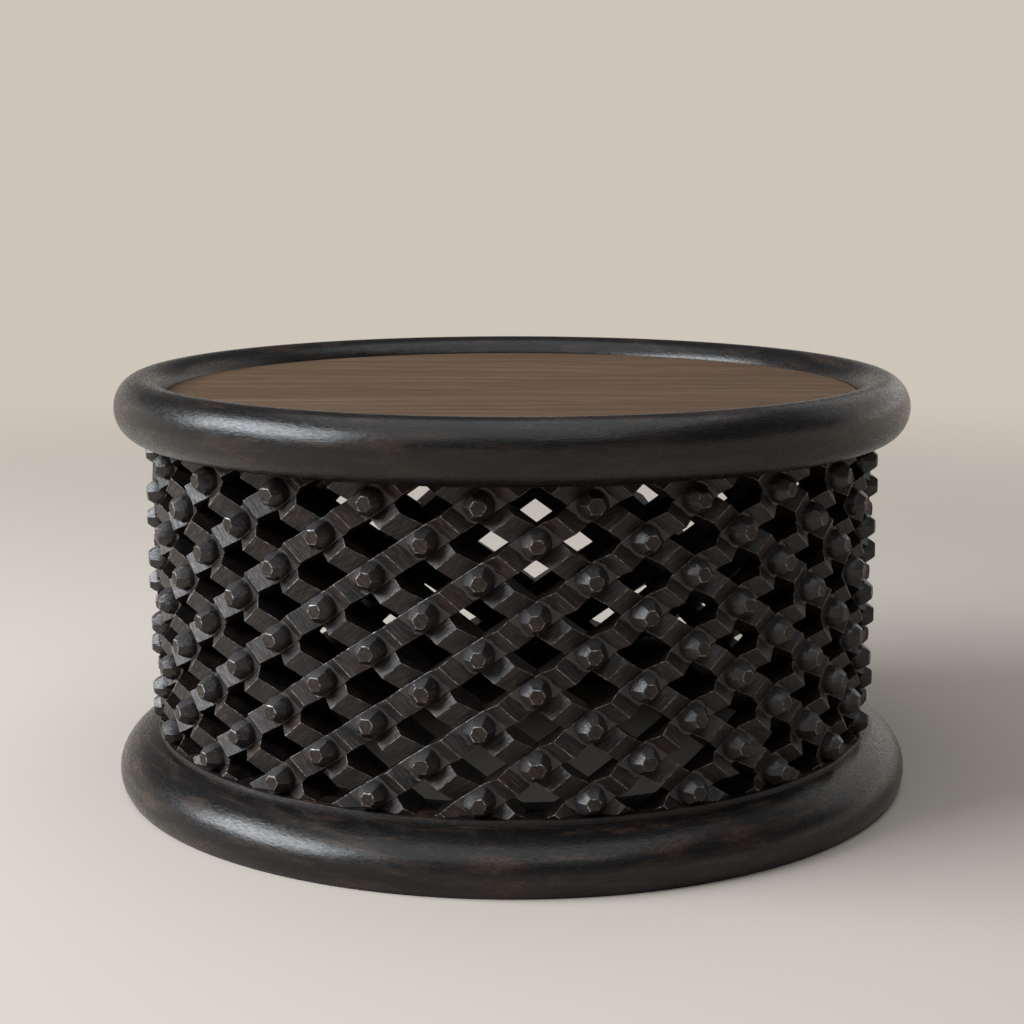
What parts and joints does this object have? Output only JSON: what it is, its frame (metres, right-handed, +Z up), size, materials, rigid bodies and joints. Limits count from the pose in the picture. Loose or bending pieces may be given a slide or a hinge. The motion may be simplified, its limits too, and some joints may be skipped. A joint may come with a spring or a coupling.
{
  "type": "low round stool",
  "caption": "Low round wooden stool with a recessed tray top on an openwork drum of crossed slanting bars with faceted knobs, standing on a thick base ring.",
  "frame": {"origin": "centre of the stool's footprint, on the ground plane under the base ring", "axes": "+Z up along the axis of the drum; +X to the right and -Y to the front, as the picture shows the stool"},
  "size_m": [0.608, 0.608, 0.31],
  "materials": {
    "tray_wood": "dark brown stained wood with straight fine grain, satin",
    "rim_wood": "ebonised wood, waxed and rubbed, semi-gloss",
    "base_wood": "ebonised wood, waxed and rubbed, semi-gloss",
    "rising_bar_wood": "ebonised carved wood with worn bright edges, satin",
    "falling_bar_wood": "ebonised carved wood with worn bright edges, satin"
  },
  "bodies": {
    "root": {"top_panel": "tray_wood", "top_rim": "rim_wood", "base_ring": "base_wood", "rising_bar_01": "rising_bar_wood", "rising_bar_02": "rising_bar_wood", "rising_bar_03": "rising_bar_wood", "rising_bar_04": "rising_bar_wood", "rising_bar_05": "rising_bar_wood", "rising_bar_06": "rising_bar_wood", "rising_bar_07": "rising_bar_wood", "rising_bar_08": "rising_bar_wood", "rising_bar_09": "rising_bar_wood", "rising_bar_10": "rising_bar_wood", "rising_bar_11": "rising_bar_wood", "rising_bar_12": "rising_bar_wood", "rising_bar_13": "rising_bar_wood", "rising_bar_14": "rising_bar_wood", "rising_bar_15": "rising_bar_wood", "rising_bar_16": "rising_bar_wood", "rising_bar_17": "rising_bar_wood", "rising_bar_18": "rising_bar_wood", "rising_bar_19": "rising_bar_wood", "rising_bar_20": "rising_bar_wood", "rising_bar_21": "rising_bar_wood", "rising_bar_22": "rising_bar_wood", "rising_bar_23": "rising_bar_wood", "falling_bar_01": "falling_bar_wood", "falling_bar_02": "falling_bar_wood", "falling_bar_03": "falling_bar_wood", "falling_bar_04": "falling_bar_wood", "falling_bar_05": "falling_bar_wood", "falling_bar_06": "falling_bar_wood", "falling_bar_07": "falling_bar_wood", "falling_bar_08": "falling_bar_wood", "falling_bar_09": "falling_bar_wood", "falling_bar_10": "falling_bar_wood", "falling_bar_11": "falling_bar_wood", "falling_bar_12": "falling_bar_wood", "falling_bar_13": "falling_bar_wood", "falling_bar_14": "falling_bar_wood", "falling_bar_15": "falling_bar_wood", "falling_bar_16": "falling_bar_wood", "falling_bar_17": "falling_bar_wood", "falling_bar_18": "falling_bar_wood", "falling_bar_19": "falling_bar_wood", "falling_bar_20": "falling_bar_wood", "falling_bar_21": "falling_bar_wood", "falling_bar_22": "falling_bar_wood", "falling_bar_23": "falling_bar_wood"}
  },
  "joints": []
}
